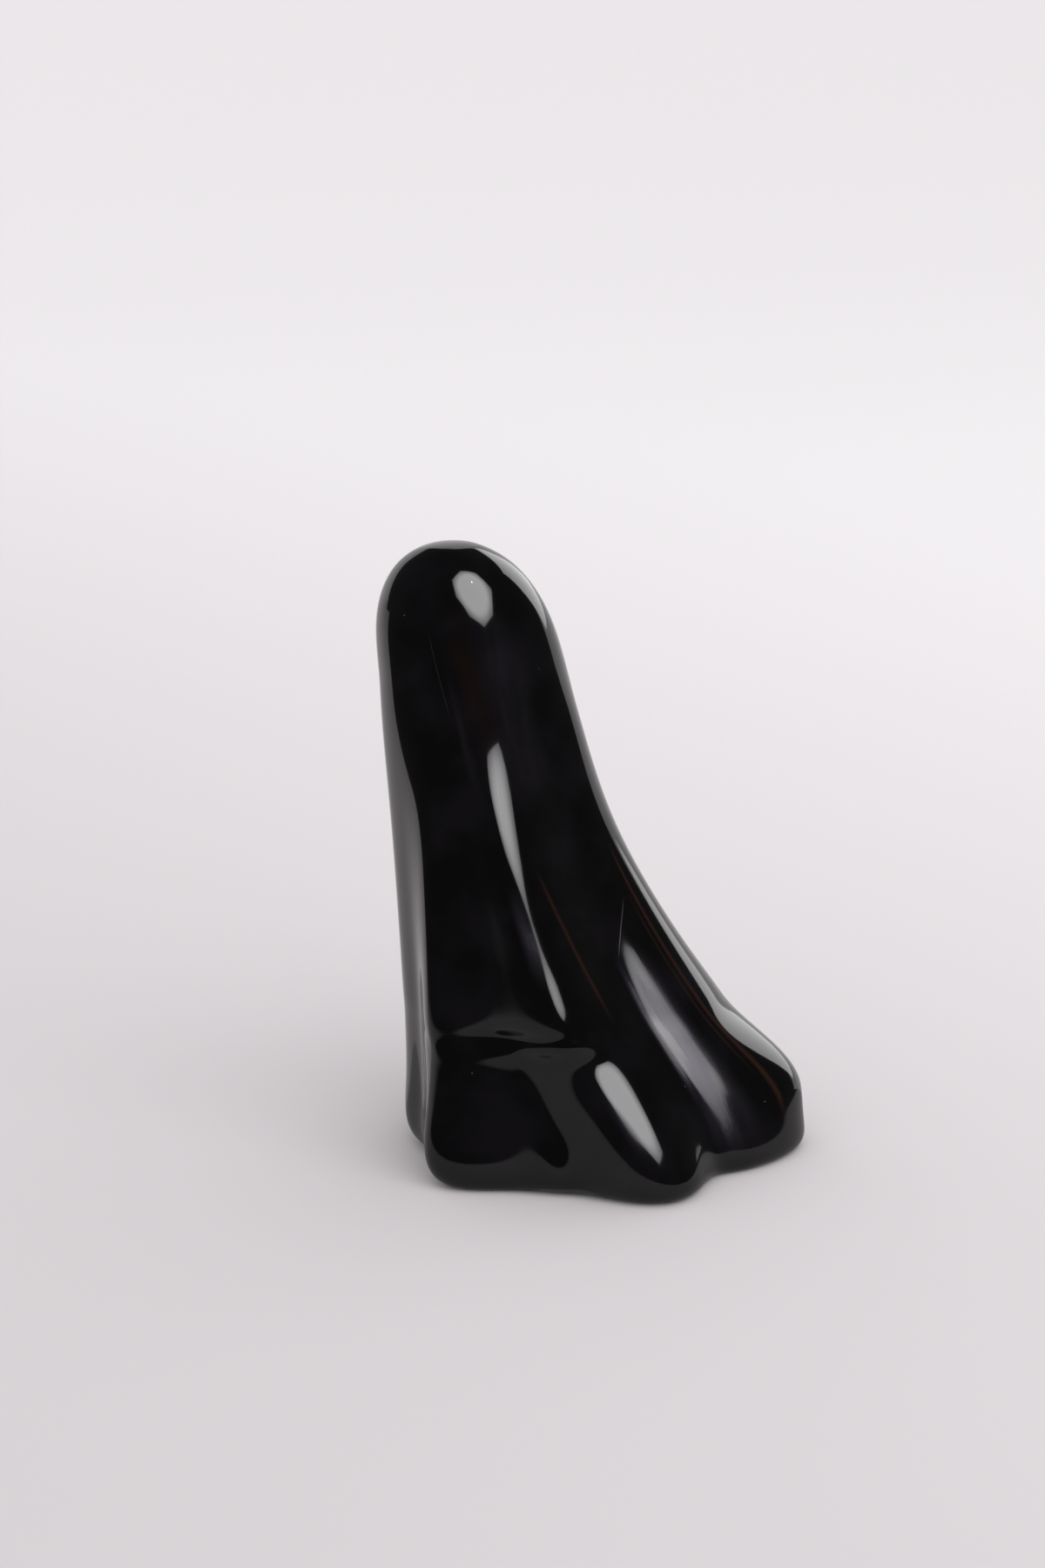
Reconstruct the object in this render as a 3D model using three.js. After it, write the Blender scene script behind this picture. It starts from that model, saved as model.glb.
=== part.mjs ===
// Obsidian chunk: one polished piece of volcanic glass, a leaning finger on a fluted, flared foot.
// Millimetres, +Z up. The origin is on the flat sole, under the middle of the stone's box.
// Bearings are degrees counter-clockwise from +X, seen from above. -Y is the front.

import * as THREE from 'three';

// The stone stands 99 mm tall. Its reach is drawn at eight heights.
const FOOT = 5;
const FLARE = 12;
const LEDGE = 21.5;
const LIP = 25.5;
const KNEE = 38;
const WAIST = 53;
const SHOULDER = 72.5;
const NECK = 78;
const CROWN = 99.4;
const DRAWN_HEIGHTS = [FOOT, FLARE, LEDGE, LIP, KNEE, WAIST, SHOULDER, NECK];

// The middle line leans to the left and back as it rises, and straightens near the crown.
const LEAN_LEFT = 0.31;
const LEFT_EASE = 0.00075;
const LEAN_BACK = 0.12;
const BACK_EASE = 0.0006;

// The sole is flat, and the edge around it is rounded to this radius. The rings of control points
// that round it are set in from the side and up from the sole by these shares of the radius.
const SOLE_EDGE = 4;
const SOLE_RINGS = [
  { inset: 1.9, up: 0 },
  { inset: 1.3, up: 0 },
  { inset: 0.62, up: 0 },
  { inset: 0.14, up: 0.32 },
  { inset: 0, up: 0.9 },
];

// The crown is squarer than a ball: its outline is a superellipse of this power.
const CROWN_POWER = 2.35;
const CROWN_RINGS = 6;
const CROWN_ROUND = 14.2;

// A crease runs across the front of the foot, between the corner and the trough, and climbs to
// the right. Above it the lip rolls in slowly, and below it the ledge has a rolled edge.
const CREASE_HEIGHT = 24.1;
const CREASE_ABOVE = 1.5;
const CREASE_BELOW = 0.9;
const ROLL_HEIGHT = 22;
const ROLL_HALF = 1.2;
const ROLL_SHARE = 0.25;
const CLIMB_HALF = 9;

// Each rail is one ridge or hollow that runs up the stone. It has its bearing at the foot, the
// lip and the neck, and its reach from the middle line at the drawn heights. Where the crease
// crosses it, it has the crease's depth there and how far the crease has climbed.
const RAILS = [
  {
    name: 'toe side',
    bearing: [2, 7, 12],
    reach: [34.7, 36.2, 28.2, 26.4, 21.4, 16.9, 15.1, 14.8],
  },
  {
    name: 'toe back',
    bearing: [14, 18.5, 27],
    reach: [33.2, 33.8, 28.6, 26.7, 21.5, 17.4, 15.2, 14.8],
  },
  {
    name: 'right hollow',
    bearing: [28, 32, 42],
    reach: [26.1, 26.0, 23.7, 22.8, 19.5, 16.8, 15.0, 14.5],
  },
  {
    name: 'right back lobe',
    bearing: [52, 53, 59],
    reach: [24.4, 23.2, 21.0, 20.2, 17.7, 16.2, 14.7, 14.1],
  },
  {
    name: 'back',
    bearing: [86, 85, 84],
    reach: [21.2, 20.0, 18.8, 18.4, 17.4, 16.1, 14.4, 13.5],
  },
  {
    name: 'left back lobe',
    bearing: [126, 123, 116],
    reach: [25.6, 23.4, 21.1, 20.4, 18.8, 17.1, 14.5, 13.6],
  },
  {
    name: 'left back',
    bearing: [152, 151, 145],
    reach: [29.6, 27.1, 24.4, 23.5, 21.0, 18.5, 15.6, 14.8],
  },
  {
    name: 'left lobe',
    bearing: [170, 171, 170],
    reach: [30.0, 27.7, 25.2, 24.3, 21.8, 19.1, 16.3, 15.4],
  },
  {
    name: 'left lobe front',
    bearing: [180, 183, 185],
    reach: [29.8, 26.9, 24.2, 23.4, 20.7, 18.1, 15.6, 14.7],
  },
  {
    name: 'left groove',
    bearing: [190, 193, 198],
    reach: [27.8, 25.2, 22.9, 22.1, 19.6, 17.1, 14.8, 14.0],
  },
  {
    name: 'corner side',
    bearing: [202, 204, 212],
    reach: [28.6, 26.0, 23.5, 22.6, 19.8, 16.9, 14.1, 13.2],
  },
  {
    name: 'corner',
    bearing: [212, 214.5, 224],
    reach: [30.9, 27.8, 24.4, 23.8, 20.5, 17.3, 13.5, 12.6],
    climb: -0.8,
  },
  {
    name: 'corner front',
    bearing: [222, 224, 232],
    reach: [29.1, 26.6, 24.2, 22.9, 19.6, 16.8, 13.0, 12.5],
    crease: 0.4,
    climb: -0.6,
  },
  {
    name: 'panel',
    bearing: [237, 236, 239],
    reach: [23.7, 22.5, 21.3, 20.4, 18.4, 16.0, 12.8, 12.3],
    crease: 1,
  },
  {
    name: 'panel edge',
    bearing: [253, 247, 243.5],
    reach: [22.5, 21.4, 20.3, 20.4, 18.2, 16.0, 12.6, 12.2],
    crease: 1.2,
    climb: 0.5,
  },
  {
    name: 'valley',
    bearing: [264, 255, 249],
    reach: [22.0, 20.5, 19.9, 20.9, 18.7, 16.3, 12.4, 12.2],
    crease: 1,
    climb: 1,
  },
  {
    name: 'front ridge',
    bearing: [281, 272, 257],
    reach: [25.3, 23.6, 21.4, 23.2, 20.8, 18.0, 12.3, 12.2],
    crease: 0.5,
    climb: 1.8,
  },
  {
    name: 'front lobe',
    bearing: [295, 286, 272],
    reach: [27.4, 25.5, 21.5, 21.6, 19.2, 16.8, 12.1, 12.0],
    climb: 2.2,
  },
  {
    name: 'lobe right',
    bearing: [308, 304, 294],
    reach: [26.5, 24.8, 20.4, 18.7, 15.7, 13.8, 11.5, 11.8],
    climb: 1.8,
  },
  {
    name: 'trough',
    bearing: [325, 325, 323],
    reach: [24.1, 23.4, 19.3, 17.6, 14.2, 12.0, 10.9, 11.7],
  },
  {
    name: 'trough wall',
    bearing: [335, 335.5, 341],
    reach: [27.2, 26.2, 22.2, 20.3, 16.2, 13.2, 12.1, 12.7],
  },
  {
    name: 'toe crest',
    bearing: [349.5, 351.5, 357],
    reach: [31.9, 31.9, 25.9, 23.8, 19.0, 15.0, 13.8, 13.9],
  },
];

// A spline rounds each ridge off, so its control points are pushed out by this share of the loss.
const RIDGE_GAIN = 1.35;

// Heights of the rings between the sole's edge and the neck, closer together at the crease.
const SIDE_HEIGHTS = [
  7, 10.5, 14, 17, 19, 20.3, 21.3, 22.1, 22.9, 23.6, 24.3, 25.1, 26, 27.2, 29, 32, 37, 43, 50, 57,
  63.5, 69, 73.5, 78,
];

// Facets between one rail and the next, and between one ring and the next.
const FACETS_ACROSS = 3;
const FACETS_UP = 2;

// Gives the middle line's place at a height.
function middleAt(height) {
  const left = LEAN_LEFT * height - LEFT_EASE * height * height;
  const back = 1 + LEAN_BACK * height - BACK_EASE * height * height;
  return [-left, back];
}

// Gives a rail's reach between the drawn heights. The side is upright at the neck.
function reachAt(reach, height) {
  const last = DRAWN_HEIGHTS.length - 1;
  if (height <= DRAWN_HEIGHTS[0]) {
    return reach[0];
  }
  if (height >= DRAWN_HEIGHTS[last]) {
    return reach[last];
  }
  const slopes = reach.map((value, i) => {
    if (i === last) {
      return 0;
    }
    const before = Math.max(i - 1, 0);
    return (reach[i + 1] - reach[before]) / (DRAWN_HEIGHTS[i + 1] - DRAWN_HEIGHTS[before]);
  });
  const i = DRAWN_HEIGHTS.findIndex((value) => value > height) - 1;
  const span = DRAWN_HEIGHTS[i + 1] - DRAWN_HEIGHTS[i];
  const t = (height - DRAWN_HEIGHTS[i]) / span;
  const blend = t * t * (3 - 2 * t);
  const rise = span * (t * (1 - t) * (1 - t) * slopes[i] - t * t * (1 - t) * slopes[i + 1]);
  return reach[i] + blend * (reach[i + 1] - reach[i]) + rise;
}

// Gives a rail's bearing at a height, in two straight stretches that meet at the lip.
function bearingAt([foot, lip, neck], height) {
  const { lerp, clamp } = THREE.MathUtils;
  if (height < LIP) {
    return lerp(foot, lip, clamp((height - FOOT) / (LIP - FOOT), 0, 1));
  }
  return lerp(lip, neck, clamp((height - LIP) / (NECK - LIP), 0, 1));
}

// Gives the depth of the crease at a height along its rail, less the rolled edge below it.
function creaseAt(rail, height) {
  const above = height - CREASE_HEIGHT;
  const half = above > 0 ? CREASE_ABOVE : CREASE_BELOW;
  const roll = Math.exp(-(((height - ROLL_HEIGHT) / ROLL_HALF) ** 2));
  return (rail.crease ?? 0) * (Math.exp(-((above / half) ** 2)) - ROLL_SHARE * roll);
}

// Gives how far a rail is raised at a height, so that the crease climbs to the right.
function climbAt(rail, height) {
  return (rail.climb ?? 0) * Math.exp(-(((height - CREASE_HEIGHT) / CLIMB_HALF) ** 2));
}

// Gives the drawn point of a rail on a ring.
function drawnPoint(rail, ring) {
  const height = ring.height + climbAt(rail, ring.height);
  const bearing = THREE.MathUtils.degToRad(bearingAt(rail.bearing, height));
  const side = reachAt(rail.reach, height) - creaseAt(rail, ring.height) - ring.inset;
  const reach = THREE.MathUtils.lerp(side, CROWN_ROUND, ring.round) * ring.scale;
  const [x, y] = middleAt(height);
  return new THREE.Vector3(x + reach * Math.cos(bearing), y + reach * Math.sin(bearing), height);
}

// Gives the control points of one ring, with its ridges and hollows pushed out.
function controlRing(ring) {
  const drawn = RAILS.map((rail) => drawnPoint(rail, ring));
  return drawn.map((point, i) => {
    const before = drawn.at(i - 1);
    const after = drawn[(i + 1) % drawn.length];
    const bend = point.clone().multiplyScalar(2).sub(before).sub(after);
    return point.clone().addScaledVector(bend, RIDGE_GAIN / 6);
  });
}

// Lists the rings of control points from the sole up: the flat, the rounded edge, the sides and
// the crown. The last ring is the mirror of the one below the crown's peak, so the peak is smooth.
function listRings() {
  const plain = { inset: 0, round: 0, scale: 1 };
  const rings = SOLE_RINGS.map(({ inset, up }) => {
    return { ...plain, height: SOLE_EDGE * up, inset: SOLE_EDGE * inset };
  });
  for (const height of SIDE_HEIGHTS) {
    rings.push({ ...plain, height });
  }
  const base = SIDE_HEIGHTS.at(-1);
  for (let i = 1; i <= CROWN_RINGS; i += 1) {
    const angle = (i / CROWN_RINGS) * (Math.PI / 2);
    const scale = Math.max(Math.cos(angle), 0) ** (2 / CROWN_POWER);
    const height = base + (CROWN - base) * Math.sin(angle) ** (2 / CROWN_POWER);
    rings.push({ ...plain, height, round: i / CROWN_RINGS, scale: i === CROWN_RINGS ? 0 : scale });
  }
  const below = rings.at(-2);
  rings.push({ ...below, scale: -below.scale });
  return rings;
}

// Gives the four weights of a uniform cubic B-spline at a fraction of one span.
function splineWeights(t) {
  return [(1 - t) ** 3, 3 * t ** 3 - 6 * t * t + 4, -3 * t ** 3 + 3 * t * t + 3 * t + 1, t ** 3].map(
    (weight) => weight / 6,
  );
}

// Gives the point of the skin at a place across the rails and up the rings.
function skinPoint(net, across, up) {
  const column = Math.floor(across);
  const row = Math.min(Math.floor(up), net.length - 3);
  const acrossWeights = splineWeights(across - column);
  const upWeights = splineWeights(up - row);
  const point = new THREE.Vector3();
  for (let j = 0; j < 4; j += 1) {
    for (let i = 0; i < 4; i += 1) {
      const control = net[row - 1 + j][(column - 1 + i + RAILS.length) % RAILS.length];
      point.addScaledVector(control, acrossWeights[i] * upWeights[j]);
    }
  }
  return point;
}

// Builds the closed skin: a flat fan for the sole, bands of facets, and a fan at the crown's peak.
function buildStone() {
  const net = listRings().map(controlRing);
  const columns = RAILS.length * FACETS_ACROSS;
  const rows = (net.length - 3) * FACETS_UP;
  const points = [];
  for (let row = 0; row < rows; row += 1) {
    for (let column = 0; column < columns; column += 1) {
      points.push(skinPoint(net, column / FACETS_ACROSS, 1 + row / FACETS_UP));
    }
  }
  const sole = points.length;
  points.push(new THREE.Vector3(...middleAt(0), 0));
  const peak = points.length;
  points.push(net.at(-2)[0].clone());
  const faces = [];
  for (let column = 0; column < columns; column += 1) {
    const next = (column + 1) % columns;
    faces.push(sole, next, column);
    for (let row = 0; row < rows - 1; row += 1) {
      const low = row * columns;
      const high = low + columns;
      faces.push(low + column, low + next, high + next);
      faces.push(low + column, high + next, high + column);
    }
    faces.push((rows - 1) * columns + column, (rows - 1) * columns + next, peak);
  }
  const geometry = new THREE.BufferGeometry().setFromPoints(points);
  geometry.setIndex(faces);
  geometry.computeBoundingBox();
  const middle = geometry.boundingBox.getCenter(new THREE.Vector3());
  geometry.translate(-middle.x, -middle.y, 0);
  geometry.computeVertexNormals();
  return geometry;
}

const volcanicGlass = new THREE.MeshStandardMaterial({
  color: 0x0b0a0c,
  roughness: 0.06,
  metalness: 0,
});

const chunk = new THREE.Mesh(buildStone(), volcanicGlass);
chunk.name = 'obsidian_chunk';

const object = new THREE.Group();
object.add(chunk);

export default object;
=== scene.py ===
"""Obsidian chunk: one polished piece of volcanic glass, dressed and lit on a pale studio sweep.

Everything is in metres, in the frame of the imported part: the flat sole lies on z = 0, the front
faces -Y and +Z is up. Sizes of the stone are written in millimetres and scaled by MM.
"""

import logging
import math
from dataclasses import dataclass, field

import bmesh
import bpy
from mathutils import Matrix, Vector


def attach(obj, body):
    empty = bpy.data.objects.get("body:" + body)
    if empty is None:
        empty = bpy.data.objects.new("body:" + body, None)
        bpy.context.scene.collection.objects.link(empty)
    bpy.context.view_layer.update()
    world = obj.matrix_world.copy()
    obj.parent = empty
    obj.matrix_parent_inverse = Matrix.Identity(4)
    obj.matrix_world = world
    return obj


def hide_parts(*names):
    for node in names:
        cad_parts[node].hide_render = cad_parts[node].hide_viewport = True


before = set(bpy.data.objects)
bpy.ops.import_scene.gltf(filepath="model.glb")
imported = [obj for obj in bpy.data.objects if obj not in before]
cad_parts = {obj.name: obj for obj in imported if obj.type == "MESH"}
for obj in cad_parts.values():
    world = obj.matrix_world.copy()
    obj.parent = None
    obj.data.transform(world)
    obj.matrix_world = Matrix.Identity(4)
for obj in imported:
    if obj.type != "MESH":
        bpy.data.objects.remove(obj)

MM = 0.001
BODY = "root"
NODE = "obsidian_chunk"
FLUTES = "flutes"

# The curve that turns an sRGB value to a linear one: straight up to the knee, then a power.
SRGB_KNEE = 0.04045
SRGB_SLOPE = 12.92
SRGB_OFFSET = 0.055
SRGB_POWER = 2.4

log = logging.getLogger("obsidian_chunk")


def linear(colour: str) -> tuple[float, float, float, float]:
    """Turns an sRGB colour into the linear one that a shader takes.

    Args:
        colour: The colour as six hex digits after a hash.

    Returns:
        Linear red, green and blue from 0 to 1, and an alpha of 1.
    """
    parts = [int(colour[i : i + 2], 16) / 255 for i in (1, 3, 5)]
    red, green, blue = (
        part / SRGB_SLOPE
        if part <= SRGB_KNEE
        else ((part + SRGB_OFFSET) / (1 + SRGB_OFFSET)) ** SRGB_POWER
        for part in parts
    )
    return red, green, blue, 1.0


def add_node(
    tree: bpy.types.NodeTree,
    kind: str,
    settings: dict[str, object] | None = None,
    inputs: dict[str | int, object] | None = None,
) -> bpy.types.Node:
    """Adds a shader node with its settings, values and links.

    Args:
        tree: The node tree that the node joins.
        kind: The node's type, without the leading ShaderNode.
        settings: The node's own properties and their values.
        inputs: Input sockets, by name or number, each with a value or an output socket to link.

    Returns:
        The new node.
    """
    node = tree.nodes.new("ShaderNode" + kind)
    for name, value in (settings or {}).items():
        setattr(node, name, value)
    for name, value in (inputs or {}).items():
        if isinstance(value, bpy.types.NodeSocket):
            tree.links.new(value, node.inputs[name])
        else:
            node.inputs[name].default_value = value
    return node


def new_material(name: str) -> bpy.types.Material:
    """Makes a material with an empty node tree.

    Args:
        name: The material's name.

    Returns:
        The new material.
    """
    material = bpy.data.materials.new(name)
    material.use_nodes = True
    material.node_tree.nodes.clear()
    return material


def deselect_all() -> None:
    """Deselects every object."""
    bpy.ops.object.select_all(action="DESELECT")


def combine(
    tree: bpy.types.NodeTree,
    operation: str,
    first: bpy.types.NodeSocket | float,
    second: bpy.types.NodeSocket | float = 0.0,
) -> bpy.types.NodeSocket:
    """Combines two numbers in a shader.

    Args:
        tree: The node tree.
        operation: The name of the math operation.
        first: The first number or output socket.
        second: The second one, where the operation takes two.

    Returns:
        The result's socket.
    """
    node = add_node(tree, "Math", {"operation": operation}, {0: first, 1: second})
    return node.outputs["Value"]


def ramp(
    tree: bpy.types.NodeTree,
    value: bpy.types.NodeSocket,
    before: tuple[float, float],
    after: tuple[float, float],
    smooth: bool = True,
) -> bpy.types.NodeSocket:
    """Maps a number from one range to another, and holds it at the ends.

    Args:
        tree: The node tree.
        value: The number's socket.
        before: The range that it is read over.
        after: What the ends of that range become.
        smooth: Whether the change eases in and out.

    Returns:
        The result's socket.
    """
    node = add_node(
        tree,
        "MapRange",
        {"interpolation_type": "SMOOTHSTEP" if smooth else "LINEAR", "clamp": True},
        {
            "Value": value,
            "From Min": before[0],
            "From Max": before[1],
            "To Min": after[0],
            "To Max": after[1],
        },
    )
    return node.outputs["Result"]


def mix(
    tree: bpy.types.NodeTree,
    share: bpy.types.NodeSocket,
    first: bpy.types.NodeSocket | tuple[float, ...],
    second: bpy.types.NodeSocket | tuple[float, ...],
) -> bpy.types.NodeSocket:
    """Mixes two colours in a shader.

    Args:
        tree: The node tree.
        share: The second colour's share, from 0 to 1.
        first: The first colour or its socket.
        second: The second colour or its socket.

    Returns:
        The mixed colour's socket.
    """
    node = add_node(tree, "MixRGB", inputs={"Fac": share, "Color1": first, "Color2": second})
    return node.outputs["Color"]


def noise(
    tree: bpy.types.NodeTree, place: bpy.types.NodeSocket, size: float, detail: float
) -> bpy.types.NodeSocket:
    """Adds soft noise of a real size.

    Args:
        tree: The node tree.
        place: The coordinates, in metres.
        size: The size of one blotch, in millimetres.
        detail: How many finer layers it has.

    Returns:
        The noise, from 0 to 1.
    """
    node = add_node(
        tree, "TexNoise", inputs={"Vector": place, "Scale": 1 / (size * MM), "Detail": detail}
    )
    return node.outputs["Fac"]


@dataclass(frozen=True)
class Rail:
    """One ridge or hollow that runs up the stone.

    The bearings are in degrees from +X at the foot, the lip and the neck. The reach is in
    millimetres from the middle line at each drawn height. Where the crease crosses the rail,
    crease is its depth and climb is how far it has risen.
    """

    name: str
    bearing: tuple[float, float, float]
    reach: tuple[float, ...]
    crease: float = 0.0
    climb: float = 0.0


@dataclass(frozen=True)
class Ring:
    """One ring of control points round the stone, in millimetres."""

    height: float
    inset: float = 0.0
    round: float = 0.0
    scale: float = 1.0


RAILS = (
    Rail("toe side", (2, 7, 12), (34.7, 36.2, 28.2, 26.4, 21.4, 16.9, 15.1, 14.8)),
    Rail("toe back", (14, 18.5, 27), (33.2, 33.8, 28.6, 26.7, 21.5, 17.4, 15.2, 14.8)),
    Rail("right hollow", (28, 32, 42), (26.1, 26.0, 23.7, 22.8, 19.5, 16.8, 15.0, 14.5)),
    Rail("right back lobe", (52, 53, 59), (24.4, 23.2, 21.0, 20.2, 17.7, 16.2, 14.7, 14.1)),
    Rail("back", (86, 85, 84), (21.2, 20.0, 18.8, 18.4, 17.4, 16.1, 14.4, 13.5)),
    Rail("left back lobe", (126, 123, 116), (25.6, 23.4, 21.1, 20.4, 18.8, 17.1, 14.5, 13.6)),
    Rail("left back", (152, 151, 145), (29.6, 27.1, 24.4, 23.5, 21.0, 18.5, 15.6, 14.8)),
    Rail("left lobe", (170, 171, 170), (30.0, 27.7, 25.2, 24.3, 21.8, 19.1, 16.3, 15.4)),
    Rail("left lobe front", (180, 183, 185), (29.8, 26.9, 24.2, 23.4, 20.7, 18.1, 15.6, 14.7)),
    Rail("left groove", (190, 193, 198), (27.8, 25.2, 22.9, 22.1, 19.6, 17.1, 14.8, 14.0)),
    Rail("corner side", (202, 204, 212), (28.6, 26.0, 23.5, 22.6, 19.8, 16.9, 14.1, 13.2)),
    Rail("corner", (212, 214.5, 224), (30.9, 27.8, 24.4, 23.8, 20.5, 17.3, 13.5, 12.6), 0.0, -0.8),
    Rail("corner front", (222, 224, 232), (29.1, 26.6, 24.2, 22.9, 19.6, 16.8, 13.0, 12.5), 0.4, -0.6),
    Rail("panel", (237, 236, 239), (23.7, 22.5, 21.3, 20.4, 18.4, 16.0, 12.8, 12.3), 1.0),
    Rail("panel edge", (253, 247, 243.5), (22.5, 21.4, 20.3, 20.4, 18.2, 16.0, 12.6, 12.2), 1.2, 0.5),
    Rail("valley", (264, 255, 249), (22.0, 20.5, 19.9, 20.9, 18.7, 16.3, 12.4, 12.2), 1.0, 1.0),
    Rail("front ridge", (281, 272, 257), (25.3, 23.6, 21.4, 23.2, 20.8, 18.0, 12.3, 12.2), 0.5, 1.8),
    Rail("front lobe", (295, 286, 272), (27.4, 25.5, 21.5, 21.6, 19.2, 16.8, 12.1, 12.0), 0.0, 2.2),
    Rail("lobe right", (308, 304, 294), (26.5, 24.8, 20.4, 18.7, 15.7, 13.8, 11.5, 11.8), 0.0, 1.8),
    Rail("trough", (325, 325, 323), (24.1, 23.4, 19.3, 17.6, 14.2, 12.0, 10.9, 11.7)),
    Rail("trough wall", (335, 335.5, 341), (27.2, 26.2, 22.2, 20.3, 16.2, 13.2, 12.1, 12.7)),
    Rail("toe crest", (349.5, 351.5, 357), (31.9, 31.9, 25.9, 23.8, 19.0, 15.0, 13.8, 13.9)),
)


@dataclass
class Stone:
    """The stone itself: its rails, rings and middle line, in millimetres, and its mesh.

    The middle line leans to the left and back, less and less with height. Spline_part is the
    part of its bend, one in six, by which the smooth skin leaves a control point.
    """

    rails: tuple[Rail, ...] = RAILS
    drawn_heights: tuple[float, ...] = (5, 12, 21.5, 25.5, 38, 53, 72.5, 78)
    lip: float = 25.5
    crown: float = 99.4
    lean_left: float = 0.31
    left_ease: float = 0.00075
    lean_back: float = 0.12
    back_ease: float = 0.0006
    sole_edge: float = 4.0
    sole_rings: tuple[tuple[float, float], ...] = ((1.9, 0), (1.3, 0), (0.62, 0), (0.14, 0.32), (0, 0.9))
    crown_power: float = 2.35
    crown_rings: int = 6
    crown_round: float = 14.2
    crease_height: float = 24.1
    crease_above: float = 1.5
    crease_below: float = 0.9
    roll_height: float = 22.0
    roll_half: float = 1.2
    roll_share: float = 0.25
    climb_half: float = 9.0
    ridge_gain: float = 1.35
    spline_part: int = 6
    side_heights: tuple[float, ...] = (
        7, 10.5, 14, 17, 19, 20.3, 21.3, 22.1, 22.9, 23.6, 24.3, 25.1, 26, 27.2, 29, 32, 37, 43, 50,
        57, 63.5, 69, 73.5, 78,
    )
    smoothing_levels: int = 3
    grid_span: int = 5
    level_slack: float = 0.01
    inner_share: float = 0.93

    def middle_at(self, height: float) -> Vector:
        """Gives the middle line's place at a height.

        Args:
            height: Height over the sole, in millimetres.

        Returns:
            The point on the middle line, in millimetres.
        """
        left = self.lean_left * height - self.left_ease * height**2
        back = 1 + self.lean_back * height - self.back_ease * height**2
        return Vector((-left, back, height))

    def reach_at(self, reach: tuple[float, ...], height: float) -> float:
        """Gives a rail's reach between the drawn heights.

        Args:
            reach: The rail's reach at the drawn heights.
            height: Height over the sole, in millimetres.

        Returns:
            The reach from the middle line, in millimetres.
        """
        heights = self.drawn_heights
        last = len(heights) - 1
        if height <= heights[0]:
            return reach[0]
        if height >= heights[last]:
            return reach[last]
        slopes = []
        for i in range(last):
            before = max(i - 1, 0)
            slopes.append((reach[i + 1] - reach[before]) / (heights[i + 1] - heights[before]))
        slopes.append(0.0)
        i = next(n for n, value in enumerate(heights) if value > height) - 1
        span = heights[i + 1] - heights[i]
        t = (height - heights[i]) / span
        blend = t * t * (3 - 2 * t)
        rise = span * (t * (1 - t) ** 2 * slopes[i] - t * t * (1 - t) * slopes[i + 1])
        return reach[i] + blend * (reach[i + 1] - reach[i]) + rise

    def bearing_at(self, bearing: tuple[float, float, float], height: float) -> float:
        """Gives a rail's bearing at a height, in two straight stretches that meet at the lip.

        Args:
            bearing: The rail's bearings at the foot, the lip and the neck.
            height: Height over the sole, in millimetres.

        Returns:
            The bearing in radians.
        """
        foot, lip, neck = bearing
        low, high = self.drawn_heights[0], self.drawn_heights[-1]
        if height < self.lip:
            share = max(height - low, 0) / (self.lip - low)
            return math.radians(foot + share * (lip - foot))
        share = min((height - self.lip) / (high - self.lip), 1)
        return math.radians(lip + share * (neck - lip))

    def crease_at(self, rail: Rail, height: float) -> float:
        """Gives the depth of the crease along its rail, less the rolled edge below it.

        Args:
            rail: The rail that the crease crosses.
            height: Height over the sole, in millimetres.

        Returns:
            The depth in millimetres.
        """
        above = height - self.crease_height
        half = self.crease_above if above > 0 else self.crease_below
        roll = math.exp(-(((height - self.roll_height) / self.roll_half) ** 2))
        return rail.crease * (math.exp(-((above / half) ** 2)) - self.roll_share * roll)

    def climb_at(self, rail: Rail, height: float) -> float:
        """Gives how far a rail is raised, so that the crease climbs to the right.

        Args:
            rail: The rail.
            height: Height over the sole, in millimetres.

        Returns:
            The rise in millimetres.
        """
        return rail.climb * math.exp(-(((height - self.crease_height) / self.climb_half) ** 2))

    def drawn_point(self, rail: Rail, ring: Ring) -> Vector:
        """Gives the drawn point of a rail on a ring.

        Args:
            rail: The rail.
            ring: The ring.

        Returns:
            The point in millimetres.
        """
        height = ring.height + self.climb_at(rail, ring.height)
        bearing = self.bearing_at(rail.bearing, height)
        side = self.reach_at(rail.reach, height) - self.crease_at(rail, ring.height) - ring.inset
        reach = (side + (self.crown_round - side) * ring.round) * ring.scale
        return self.middle_at(height) + Vector((math.cos(bearing), math.sin(bearing), 0)) * reach

    def control_ring(self, ring: Ring) -> list[Vector]:
        """Gives the control points of a ring, its ridges and hollows pushed out.

        Smoothing rounds each ridge off, so a control point is moved by a share of the loss.

        Args:
            ring: The ring.

        Returns:
            One point for each rail, in metres.
        """
        drawn = [self.drawn_point(rail, ring) for rail in self.rails]
        points = []
        for i, point in enumerate(drawn):
            bend = point * 2 - drawn[i - 1] - drawn[(i + 1) % len(drawn)]
            points.append((point + bend * (self.ridge_gain / self.spline_part)) * MM)
        return points

    def list_rings(self) -> list[Ring]:
        """Lists the rings from the sole up to the last one below the crown's peak."""
        edge = self.sole_edge
        rings = [Ring(edge * up, inset=edge * inset) for inset, up in self.sole_rings]
        rings += [Ring(height) for height in self.side_heights]
        for i in range(1, self.crown_rings):
            angle = i / self.crown_rings * math.pi / 2
            scale = math.cos(angle) ** (2 / self.crown_power)
            rings.append(Ring(self.crown_height(scale), round=i / self.crown_rings, scale=scale))
        return rings

    def crown_height(self, scale: float) -> float:
        """Gives the crown's height where its outline has narrowed to a share of its width.

        Args:
            scale: The share, from 0 at the peak to 1 at the crown's base.

        Returns:
            The height in millimetres.
        """
        base = self.side_heights[-1]
        return base + (self.crown - base) * (1 - scale**self.crown_power) ** (1 / self.crown_power)

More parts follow.
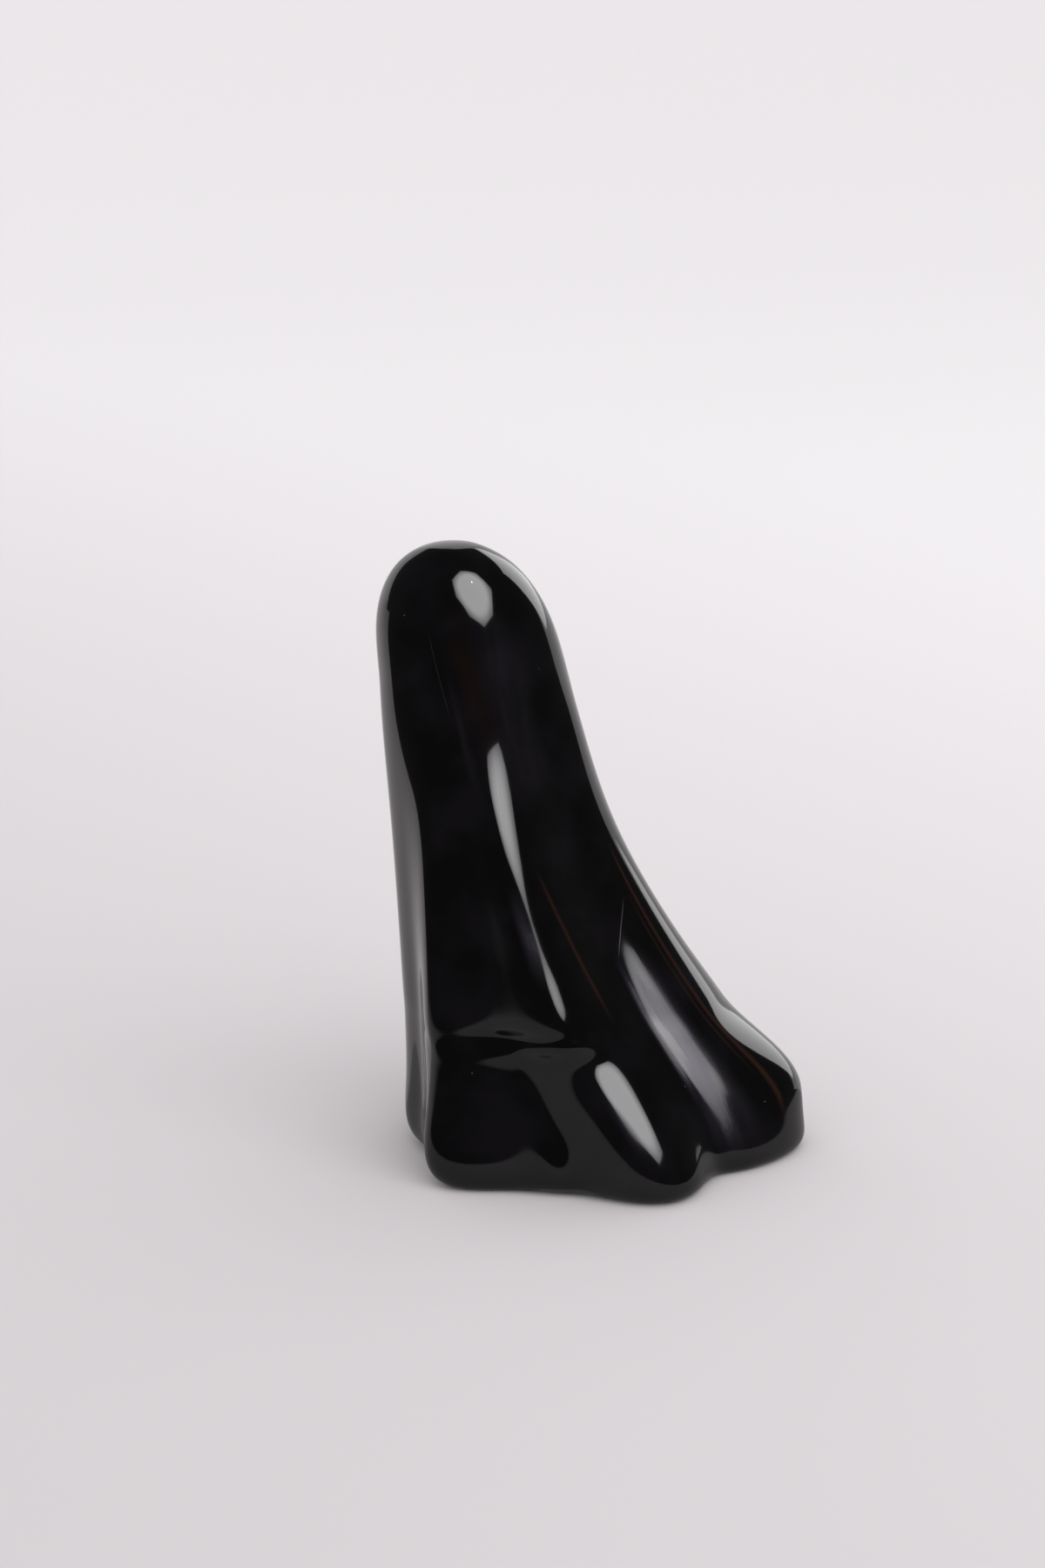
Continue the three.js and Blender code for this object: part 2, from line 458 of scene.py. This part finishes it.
    def move_ring(self, points: list[Vector]) -> None:
        """Moves each selected vertex of the mesh in edit mode to its rail's point.

        Args:
            points: One point for each rail, in metres.
        """
        mesh = bmesh.from_edit_mesh(bpy.context.object.data)
        rail_of = mesh.verts.layers.int["rail"]
        ring = [vertex for vertex in mesh.verts if vertex.select]
        for vertex in ring:
            bpy.ops.mesh.select_all(action="DESELECT")
            vertex.select_set(True)
            bpy.ops.transform.translate(value=points[vertex[rail_of]] - vertex.co)
        bpy.ops.mesh.select_all(action="DESELECT")
        for vertex in ring:
            vertex.select_set(True)
        mesh.select_flush(True)

    def build_cage(self) -> bpy.types.Object:
        """Extrudes the cage of control points ring by ring, and closes it at the sole and crown.

        Returns:
            The cage, in edit mode.
        """
        deselect_all()
        bpy.ops.mesh.primitive_circle_add(vertices=len(self.rails), radius=self.rails[0].reach[0] * MM)
        cage = bpy.context.object
        cage.name = cage.data.name = "polished_stone"
        bpy.ops.object.mode_set(mode="EDIT")
        bpy.context.tool_settings.mesh_select_mode = (True, False, False)
        mesh = bmesh.from_edit_mesh(cage.data)
        rail_of = mesh.verts.layers.int.new("rail")
        mesh.verts.ensure_lookup_table()
        around = sorted(mesh.verts, key=lambda vertex: math.atan2(vertex.co.y, vertex.co.x) % math.tau)
        for number, vertex in enumerate(around):
            vertex[rail_of] = number
        rings = self.list_rings()
        bpy.ops.mesh.select_all(action="SELECT")
        self.move_ring(self.control_ring(rings[0]))
        bpy.ops.mesh.fill_grid(span=self.grid_span)
        self.select_open_edge()
        for ring in rings[1:]:
            bpy.ops.mesh.extrude_region_move(TRANSFORM_OT_translate={"value": (0, 0, MM)})
            self.move_ring(self.control_ring(ring))
        bpy.ops.mesh.fill_grid(span=self.grid_span)
        self.raise_crown(rings[-1])
        return cage

    def select_open_edge(self) -> None:
        """Selects the cage's open edge in edit mode."""
        mesh = bmesh.from_edit_mesh(bpy.context.object.data)
        bpy.ops.mesh.select_all(action="DESELECT")
        for edge in mesh.edges:
            if edge.is_boundary:
                edge.select_set(True)

    def raise_crown(self, last: Ring) -> None:
        """Raises the new vertices inside the last ring to the crown's height.

        Args:
            last: The last ring of the cage.
        """
        mesh = bmesh.from_edit_mesh(bpy.context.object.data)
        middle = self.middle_at(last.height) * MM
        top = [vertex for vertex in mesh.verts if vertex.co.z > middle.z - self.level_slack * MM]
        width = self.crown_round * MM
        for vertex in top:
            away = (vertex.co.xy - middle.xy).length
            if away / width < last.scale * self.inner_share:
                bpy.ops.mesh.select_all(action="DESELECT")
                vertex.select_set(True)
                rise = self.crown_height(away / width) * MM - vertex.co.z
                bpy.ops.transform.translate(value=(0, 0, rise))

    def map_flutes(self, cage: bpy.types.Object) -> None:
        """Gives the cage a UV map that follows the flutes: U is the rail's number, V the height.

        Args:
            cage: The cage, in object mode. Its crown and sole need no flutes.
        """
        flutes = cage.data.uv_layers.new(name=FLUTES)
        rail_of = cage.data.attributes["rail"]
        count = len(self.rails)
        for face in cage.data.polygons:
            numbers = [rail_of.data[v].value for v in face.vertices]
            wraps = max(numbers) - min(numbers) > count / 2
            for loop, number in zip(face.loop_indices, numbers):
                across = number + count if wraps and number < count / 2 else number
                height = cage.data.vertices[cage.data.loops[loop].vertex_index].co.z
                flutes.data[loop].uv = (across / count, height / (self.crown * MM))

    def build(self) -> bpy.types.Object:
        """Builds the smooth stone and sets the middle of its box over the origin.

        Returns:
            The finished mesh object.
        """
        stone = self.build_cage()
        bpy.ops.mesh.select_all(action="SELECT")
        bpy.ops.mesh.normals_make_consistent(inside=False)
        bpy.ops.object.mode_set(mode="OBJECT")
        self.map_flutes(stone)
        smooth = stone.modifiers.new("smooth", "SUBSURF")
        smooth.levels = smooth.render_levels = self.smoothing_levels
        bpy.ops.object.modifier_apply(modifier=smooth.name)
        bpy.ops.object.shade_smooth()
        corners = [Vector(corner) for corner in stone.bound_box]
        middle = sum(corners, Vector()) / len(corners)
        bpy.ops.transform.translate(value=(-middle.x, -middle.y, 0))
        bpy.ops.object.transform_apply(location=True, rotation=False, scale=False)
        return stone


@dataclass(frozen=True)
class Streak:
    """A band that runs up the stone along its flutes, and fades at its ends and sides.

    The rails are the rail numbers that it follows at its lower and upper end, and half_width is
    in rails too. Heights and fade are in millimetres.
    """

    name: str
    rails: tuple[float, float]
    heights: tuple[float, float]
    half_width: float
    fade: float
    strength: float = 1.0

    def mask(
        self, tree: bpy.types.NodeTree, across: bpy.types.NodeSocket, up: bpy.types.NodeSocket
    ) -> bpy.types.NodeSocket:
        """Adds the nodes of the streak's mask.

        Args:
            tree: The material's node tree.
            across: The place across the flutes, as a rail number.
            up: The height over the sole, in millimetres.

        Returns:
            The mask, from 0 to the streak's strength.
        """
        low, high = self.heights
        line = ramp(tree, up, self.heights, self.rails, smooth=False)
        offset = combine(tree, "SUBTRACT", across, line)
        side = ramp(tree, combine(tree, "ABSOLUTE", offset), (0, self.half_width), (self.strength, 0))
        start = ramp(tree, up, (low, low + self.fade), (0, 1))
        end = ramp(tree, up, (high - self.fade, high), (1, 0))
        return combine(tree, "MULTIPLY", combine(tree, "MULTIPLY", side, start), end)


@dataclass(frozen=True)
class VolcanicGlass:
    """Obsidian, ground and tumble-polished: a black glass mirror with a few cloudy, brown traces.

    The flutes map gives the bands their places. Other lengths are in millimetres. The hazes'
    grey-lavender colour is a painted sheen, and the brown band under the dome a painted reflection.
    """

    body: str = "#050405"
    cloud: str = "#0D0B0E"
    cloud_size: float = 11.0
    cloud_edges: tuple[float, float] = (0.4, 0.72)
    # The haze colour is a painted sheen: the softbox's blurred reflection.
    haze_and_sheen: str = "#38353F"
    # The mahogany colour also paints a brownish reflection under the dome.
    mahogany_and_reflection: str = "#281711"
    speck: str = "#6E6A70"
    speck_gap: float = 3.4
    speck_radius: float = 0.075
    speck_share: float = 0.4
    ior: float = 1.5
    polish: float = 0.065
    dull: float = 0.42
    dull_from: float = 0.8
    wave_size: float = 5.0
    wave_depth: float = 0.008
    grain: tuple[float, float] = (2.2, 0.06)
    grain_edges: tuple[float, float] = (0.28, 0.66)
    grain_least: float = 0.3
    # The hazes also paint a grey-lavender sheen, in the hollows and beside the ridge and lobe highlights.
    haze_and_sheen_streaks: tuple[Streak, ...] = (
        Streak("trough, left edge", (19.2, 19.1), (9, 36), 0.26, 9, 0.8),
        Streak("trough wall", (19.8, 19.6), (2, 38), 0.85, 11, 1.0),
        Streak("ridge, left of its light", (16.25, 16.3), (33, 50), 0.4, 9, 0.5),
        Streak("front lobe, left of its light", (16.9, 16.7), (7, 19), 0.35, 6, 0.45),
        Streak("face beside the dome", (18.2, 17.8), (58, 94), 1.1, 14, 0.18),
        Streak("valley", (15.8, 15.6), (60, 84), 0.5, 10, 0.12),
    )
    scratches: tuple[Streak, ...] = (
        Streak("scratch over the trough", (19.0, 20.6), (33.5, 43.5), 0.035, 3, 0.3),
        Streak("scratch under the dome", (14.8, 13.8), (73.5, 88), 0.03, 3, 0.3),
        Streak("scratch on the face", (16.4, 17.1), (54, 71), 0.025, 4, 0.25),
    )
    flows_and_reflection: tuple[Streak, ...] = (
        Streak("beside the front lobe", (17.9, 17.2), (26, 52), 0.1, 6, 0.8),
        Streak("along the toe crest", (21.1, 20.95), (6, 52), 0.1, 6, 1.0),
        Streak("second along the toe crest", (20.88, 20.75), (14, 44), 0.05, 6, 0.6),
        # Painted reflection: a brownish band under the dome.
        Streak("under the dome", (16.9, 16.6), (66, 93), 0.9, 12, 0.2),
    )

    def layer(
        self,
        tree: bpy.types.NodeTree,
        streaks: tuple[Streak, ...],
        across: bpy.types.NodeSocket,
        up: bpy.types.NodeSocket,
    ) -> bpy.types.NodeSocket:
        """Adds the masks of some streaks together.

        Args:
            tree: The material's node tree.
            streaks: The streaks of one kind.
            across: The place across the flutes, as a rail number.
            up: The height over the sole, in millimetres.

        Returns:
            The mask of them all.
        """
        masks = [streak.mask(tree, across, up) for streak in streaks]
        whole = masks[0]
        for mask in masks[1:]:
            whole = combine(tree, "MAXIMUM", whole, mask)
        return whole

    def build(self) -> bpy.types.Material:
        """Builds the material.

        Returns:
            The finished material.
        """
        material = new_material("tumbled_obsidian")
        tree = material.node_tree
        place = add_node(tree, "TexCoord").outputs["Object"]
        flutes = add_node(tree, "UVMap", {"uv_map": FLUTES}).outputs["UV"]
        part = add_node(tree, "SeparateXYZ", inputs={"Vector": flutes})
        across = combine(tree, "MULTIPLY", part.outputs["X"], len(RAILS))
        up = combine(tree, "MULTIPLY", part.outputs["Y"], Stone.crown)

        # Cloud: faint grey bodies in the glass, a centimetre or so across, that keep it from dead black.
        cloud = noise(tree, place, self.cloud_size, detail=3)
        share = ramp(tree, cloud, self.cloud_edges, (0, 1))
        colour = mix(tree, share, linear(self.body), linear(self.cloud))

        # Haze: duller polish where the polishing did not reach the hollow, in grain that runs along the
        # flutes, with a painted sheen.
        grained = add_node(
            tree,
            "CombineXYZ",
            inputs={
                "X": combine(tree, "MULTIPLY", across, self.grain[0]),
                "Y": combine(tree, "MULTIPLY", up, self.grain[1]),
            },
        )
        grain = add_node(
            tree, "TexNoise", inputs={"Vector": grained.outputs["Vector"], "Scale": 1.0, "Detail": 4.0}
        ).outputs["Fac"]
        haze_and_sheen = combine(
            tree,
            "MULTIPLY",
            self.layer(tree, self.haze_and_sheen_streaks, across, up),
            ramp(tree, grain, self.grain_edges, (self.grain_least, 1)),
        )
        # Painted sheen: the grey-lavender haze colour stands for the softbox's blurred reflection, in the
        # hollows and beside the ridge and lobe highlights.
        colour = mix(tree, haze_and_sheen, colour, linear(self.haze_and_sheen))

        # Mahogany: brown flow bands, thin where the glass was drawn out along a ridge; the broad faint
        # band under the dome is a painted reflection.
        colour = mix(tree, self.layer(tree, self.flows_and_reflection, across, up), colour, linear(self.mahogany_and_reflection))

        # Scratches and specks: hairlines and open bubbles that catch the light as pale points.
        cell = add_node(
            tree, "TexVoronoi", inputs={"Vector": place, "Scale": 1 / (self.speck_gap * MM)}
        )
        near = ramp(tree, cell.outputs["Distance"], (0, self.speck_radius / self.speck_gap * 2), (1, 0))
        chance = add_node(tree, "SeparateXYZ", inputs={"Vector": cell.outputs["Color"]}).outputs["X"]
        chosen = combine(tree, "LESS_THAN", chance, self.speck_share)
        specks = combine(tree, "MULTIPLY", near, chosen)
        marks = combine(tree, "MAXIMUM", specks, self.layer(tree, self.scratches, across, up))
        colour = mix(tree, marks, colour, linear(self.speck))

        # Polish: a near mirror, duller in the haze, with the slow waves of hand grinding.
        worn = combine(tree, "MAXIMUM", haze_and_sheen, marks)
        rough = ramp(tree, worn, (0, self.dull_from), (self.polish, self.dull))
        waves = noise(tree, place, self.wave_size, detail=1)
        bump = add_node(
            tree, "Bump", inputs={"Height": waves, "Distance": self.wave_depth * MM, "Strength": 1.0}
        )
        shader = add_node(
            tree,
            "BsdfPrincipled",
            inputs={
                "Base Color": colour,
                "Roughness": rough,
                "Normal": bump.outputs["Normal"],
                "IOR": self.ior,
            },
        )
        add_node(tree, "OutputMaterial", inputs={"Surface": shader.outputs["BSDF"]})
        return material


@dataclass(frozen=True)
class Glow:
    """A glow for a studio panel: even, or dimmer towards the edge like a lamp behind cloth.

    The reach is how far from the panel's middle the glow holds and where it has faded, and clear
    is where a panel with a thin middle starts to close and has closed, all in metres. Thinness
    is the share of light that passes the thin middle.
    """

    name: str
    strength: float
    colour: str = "#FFFFFF"
    reach: tuple[float, float] | None = None
    edge_share: float = 0.3
    clear: tuple[float, float] | None = None
    thinness: float = 1.0

    def build(self) -> bpy.types.Material:
        """Builds the material.

        Returns:
            The finished material.
        """
        material = new_material(self.name)
        tree = material.node_tree
        place = add_node(tree, "TexCoord").outputs["Object"]
        away = add_node(tree, "VectorMath", {"operation": "LENGTH"}, {0: place}).outputs["Value"]
        strength = self.strength
        if self.reach:
            strength = ramp(tree, away, self.reach, (self.strength, self.strength * self.edge_share))
        glow = add_node(tree, "Emission", inputs={"Color": linear(self.colour), "Strength": strength})
        surface = glow.outputs["Emission"]
        if self.clear:
            share = ramp(tree, away, self.clear, (1 - self.thinness, 1))
            open_middle = add_node(tree, "BsdfTransparent").outputs["BSDF"]
            panel = add_node(tree, "MixShader", inputs={0: share, 1: open_middle, 2: surface})
            surface = panel.outputs["Shader"]
        add_node(tree, "OutputMaterial", inputs={"Surface": surface})
        return material


@dataclass(frozen=True)
class MattePaper:
    """Background paper: pale and matte, with painted light: paler towards the back and the right, darker
    at the front.
    """

    near_colour: str = "#D7D3D5"
    far_colour: str = "#FEFCFE"
    near: float = -0.3
    far: float = 0.62
    roughness: float = 0.9
    specular: float = 0.1

    def build(self) -> bpy.types.Material:
        """Builds the material.

        Returns:
            The finished material.
        """
        material = new_material("background_paper")
        tree = material.node_tree
        place = add_node(tree, "TexCoord").outputs["Object"]
        along = add_node(tree, "SeparateXYZ", inputs={"Vector": place}).outputs["Y"]
        # Painted light: the colour grows paler towards the back and darker towards the front.
        share = ramp(tree, along, (self.near, self.far), (0, 1))
        shader = add_node(
            tree,
            "BsdfPrincipled",
            inputs={
                "Base Color": mix(tree, share, linear(self.near_colour), linear(self.far_colour)),
                "Roughness": self.roughness,
                "Specular IOR Level": self.specular,
            },
        )
        add_node(tree, "OutputMaterial", inputs={"Surface": shader.outputs["BSDF"]})
        return material


@dataclass(frozen=True)
class Spot:
    """A place in the studio: degrees right of the camera, degrees up, and metres from the stone."""

    turn: float
    rise: float
    distance: float

    def away(self) -> Vector:
        """Gives the direction from the stone."""
        turn, rise = math.radians(self.turn), math.radians(self.rise)
        return Vector((math.cos(rise) * math.sin(turn), -math.cos(rise) * math.cos(turn), math.sin(rise)))


@dataclass
class Studio:
    """The pale sweep, the soft light all round, and the panels that the polished stone mirrors.

    All of it stands on a turntable that faces the camera, so each view has the same light. Sizes
    are in metres and angles in degrees.
    """

    sweep_size: float = 120.0
    sweep_turn: float = -35.0
    wall_glow: float = 0.84
    wall_colour: str = "#FFFDFE"
    aim: tuple[float, float, float] = (-0.014, 0.0, 0.06)
    tent_radius: float = 1.6
    tent_steps: tuple[int, int] = (96, 48)
    tent_rise: float = 22.0
    tent_spread: float = 117.6
    tent_glow: float = 0.05
    dark_floor_from: float = 0.02
    dark_floor_fade: tuple[float, float] = (0.1, 0.175)
    dark_floor_thinness: float = 0.58
    dark_floor_to: float = 1.62
    dark_floor_lift: float = 0.0006
    dark_floor_turns: tuple[float, float] = (-112.0, 120.5)
    dark_floor_steps: int = 48
    softbox: Spot = Spot(41.4, 46, 1.12)
    softbox_sides: int = 8
    softbox_width: float = 1.25
    softbox_glow: float = 8.0
    softbox_reach: tuple[float, float] = (0.42, 0.68)
    softbox_power: float = 3.0
    softbox_light_width: float = 0.95
    reflector: Spot = Spot(145, 21, 1.4)
    reflector_size: tuple[float, float] = (0.9, 0.85)
    reflector_glow: float = 2.6
    pin: Spot = Spot(52, 56, 1.0)
    pin_radius: float = 0.012
    pin_steps: tuple[int, int] = (24, 12)
    pin_glow: float = 60.0
    turntable: bpy.types.Object | None = field(default=None, init=False)

    def mount(self, piece: bpy.types.Object, name: str) -> None:
        """Names a piece of the studio and stands it on the turntable.

        Args:
            piece: The piece.
            name: Its name.
        """
        piece.name = name
        piece.parent = self.turntable
        log.info("stage: %s", name)

    def add_panel(self, panel: bpy.types.Object, name: str, finish: Glow) -> None:
        """Dresses a panel that only the stone's mirror sees.

        Args:
            panel: The panel.
            name: Its name.
            finish: Its glow.
        """
        panel.data.materials.clear()
        panel.data.materials.append(finish.build())
        panel.visible_camera = False
        panel.visible_diffuse = False
        panel.visible_shadow = False
        panel.visible_transmission = False
        self.mount(panel, name)

    def hang(self, piece: bpy.types.Object, spot: Spot) -> None:
        """Puts a piece at a spot, turned to face the stone.

        Args:
            piece: The piece, whose face looks along its +Z.
            spot: The spot.
        """
        away = spot.away()
        piece.location = away * spot.distance + Vector(self.aim)
        piece.rotation_euler = (-away).to_track_quat("Z", "Y").to_euler()

    def build_turntable(self, camera: bpy.types.Object) -> None:
        """Sets an empty under the stone whose front follows the camera round.

        Args:
            camera: The camera that it faces.
        """
        deselect_all()
        bpy.ops.object.empty_add(location=(0, 0, 0))
        self.turntable = bpy.context.object
        self.turntable.name = "turntable"
        follow = self.turntable.constraints.new("LOCKED_TRACK")
        follow.target = camera
        follow.track_axis = "TRACK_NEGATIVE_Y"
        follow.lock_axis = "LOCK_Z"

    def build_sweep(self) -> None:
        """Lays the pale floor and lights the room evenly."""
        deselect_all()
        bpy.ops.mesh.primitive_plane_add(size=self.sweep_size, location=(0, 0, 0))
        floor = bpy.context.object
        floor.rotation_euler.z = math.radians(self.sweep_turn)
        floor.data.materials.append(MattePaper().build())
        self.mount(floor, "floor")
        world = bpy.data.worlds.new("studio")
        world.use_nodes = True
        wall = world.node_tree.nodes["Background"]
        wall.inputs["Color"].default_value = linear(self.wall_colour)
        wall.inputs["Strength"].default_value = self.wall_glow
        bpy.context.scene.world = world

    def build_tent(self) -> None:
        """Hangs the dark tent: a round cap about the camera's side and over the stone, painted shade seen
        only in the stone's mirror for the unlit room.
        """
        deselect_all()
        around, up = self.tent_steps
        bpy.ops.mesh.primitive_uv_sphere_add(segments=around, ring_count=up, radius=self.tent_radius)
        tent = bpy.context.object
        bpy.ops.object.mode_set(mode="EDIT")
        bpy.ops.mesh.select_all(action="SELECT")
        towards = Spot(0, self.tent_rise, 0).away()
        edge = math.cos(math.radians(self.tent_spread)) * self.tent_radius
        bpy.ops.mesh.bisect(plane_co=towards * edge, plane_no=towards, clear_inner=True)
        bpy.ops.object.mode_set(mode="OBJECT")
        # Painted shade: the tent stands for the unlit room in the stone's mirror.
        self.add_panel(tent, "dark_tent", Glow("painted_room_shade", self.tent_glow))

    def build_dark_floor(self) -> None:
        """Lays the dark ring on the floor round the stone, open at the back: painted shade, seen only in
        the stone's mirror, for the shaded floor near the stone and the unlit room beyond it.
        """
        deselect_all()
        bpy.ops.mesh.primitive_plane_add(size=1)
        ring = bpy.context.object
        bpy.ops.object.mode_set(mode="EDIT")
        mesh = bmesh.from_edit_mesh(ring.data)
        mesh.verts.ensure_lookup_table()
        near, far = mesh.verts[0], mesh.verts[1]
        bmesh.ops.delete(mesh, geom=list(mesh.verts)[2:], context="VERTS")
        first, last = self.dark_floor_turns
        start = Spot(first, 0, 0).away()
        lift = Vector((0, 0, self.dark_floor_lift))
        near.co = start * self.dark_floor_from + lift
        far.co = start * self.dark_floor_to + lift
        bpy.ops.mesh.select_all(action="SELECT")
        turn = math.radians(last - first)
        bpy.ops.mesh.spin(steps=self.dark_floor_steps, angle=turn, center=(0, 0, 0), axis=(0, 0, -1))
        bpy.ops.object.mode_set(mode="OBJECT")
        # Painted shade: a dark card, part clear near the stone, that only the stone's mirror sees.
        finish = Glow(
            "painted_floor_shade", self.tent_glow, clear=self.dark_floor_fade, thinness=self.dark_floor_thinness
        )
        self.add_panel(ring, "dark_floor", finish)

    def build_softbox(self) -> None:
        """Hangs the eight-sided softbox high on the right, and the light that it gives."""
        deselect_all()
        radius = self.softbox_width / 2 / math.cos(math.pi / self.softbox_sides)
        bpy.ops.mesh.primitive_circle_add(vertices=self.softbox_sides, radius=radius, fill_type="NGON")
        softbox = bpy.context.object
        self.hang(softbox, self.softbox)
        cloth = Glow("softbox_cloth", self.softbox_glow, "#FFFDFF", self.softbox_reach)
        self.add_panel(softbox, "softbox", cloth)
        deselect_all()
        bpy.ops.object.light_add(type="AREA")
        light = bpy.context.object
        light.data.size = self.softbox_light_width
        light.data.energy = self.softbox_power
        light.visible_glossy = False
        self.hang(light, self.softbox)
        light.rotation_euler = self.softbox.away().to_track_quat("Z", "Y").to_euler()
        self.mount(light, "softbox_light")

    def build_reflector(self) -> None:
        """Stands the glowing card behind the stone on the right, painted light seen only in the stone's
        mirror, for its bright right rim.
        """
        deselect_all()
        bpy.ops.mesh.primitive_plane_add(size=1)
        reflector = bpy.context.object
        self.hang(reflector, self.reflector)
        reflector.scale = (*self.reflector_size, 1)
        # Painted light: the card glows, though it is no lamp.
        self.add_panel(reflector, "reflector", Glow("painted_light_card", self.reflector_glow))

    def build_pin(self) -> None:
        """Hangs the small lamp that shows as a bright point beside the softbox on the dome."""
        deselect_all()
        around, up = self.pin_steps
        bpy.ops.mesh.primitive_uv_sphere_add(segments=around, ring_count=up, radius=self.pin_radius)
        pin = bpy.context.object
        self.hang(pin, self.pin)
        self.add_panel(pin, "pin_lamp", Glow("lamp_glass", self.pin_glow))

    def build(self, camera: bpy.types.Object) -> None:
        """Builds the whole studio.

        Args:
            camera: The camera that the panels face.
        """
        self.build_turntable(camera)
        self.build_sweep()
        self.build_tent()
        self.build_dark_floor()
        self.build_softbox()
        self.build_reflector()
        self.build_pin()


@dataclass
class PhotoCamera:
    """The camera at the photograph's viewing angle, in metres and degrees."""

    place: tuple[float, float, float] = (-0.01152, -0.46105, 0.1943)
    elevation: float = 16.0
    lens: float = 70.0
    nearest: float = 0.01

    def build(self) -> bpy.types.Object:
        """Makes the camera and gives it to the scene.

        Returns:
            The camera object.
        """
        deselect_all()
        bpy.ops.object.camera_add(location=self.place, rotation=(math.radians(90 - self.elevation), 0, 0))
        camera = bpy.context.object
        camera.name = "photo_camera"
        camera.data.lens = self.lens
        camera.data.clip_start = self.nearest
        bpy.context.scene.camera = camera
        bpy.context.scene.view_settings.view_transform = "Standard"
        return camera


def main() -> None:
    logging.basicConfig(level=logging.INFO, format="%(name)s: %(message)s")
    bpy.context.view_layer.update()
    stone = Stone().build()
    stone.data.materials.append(VolcanicGlass().build())
    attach(stone, BODY)
    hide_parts(NODE)
    log.info("piece: %s, %d faces", stone.name, len(stone.data.polygons))
    camera = PhotoCamera().build()
    Studio().build(camera)


if __name__ == "__main__":
    main()
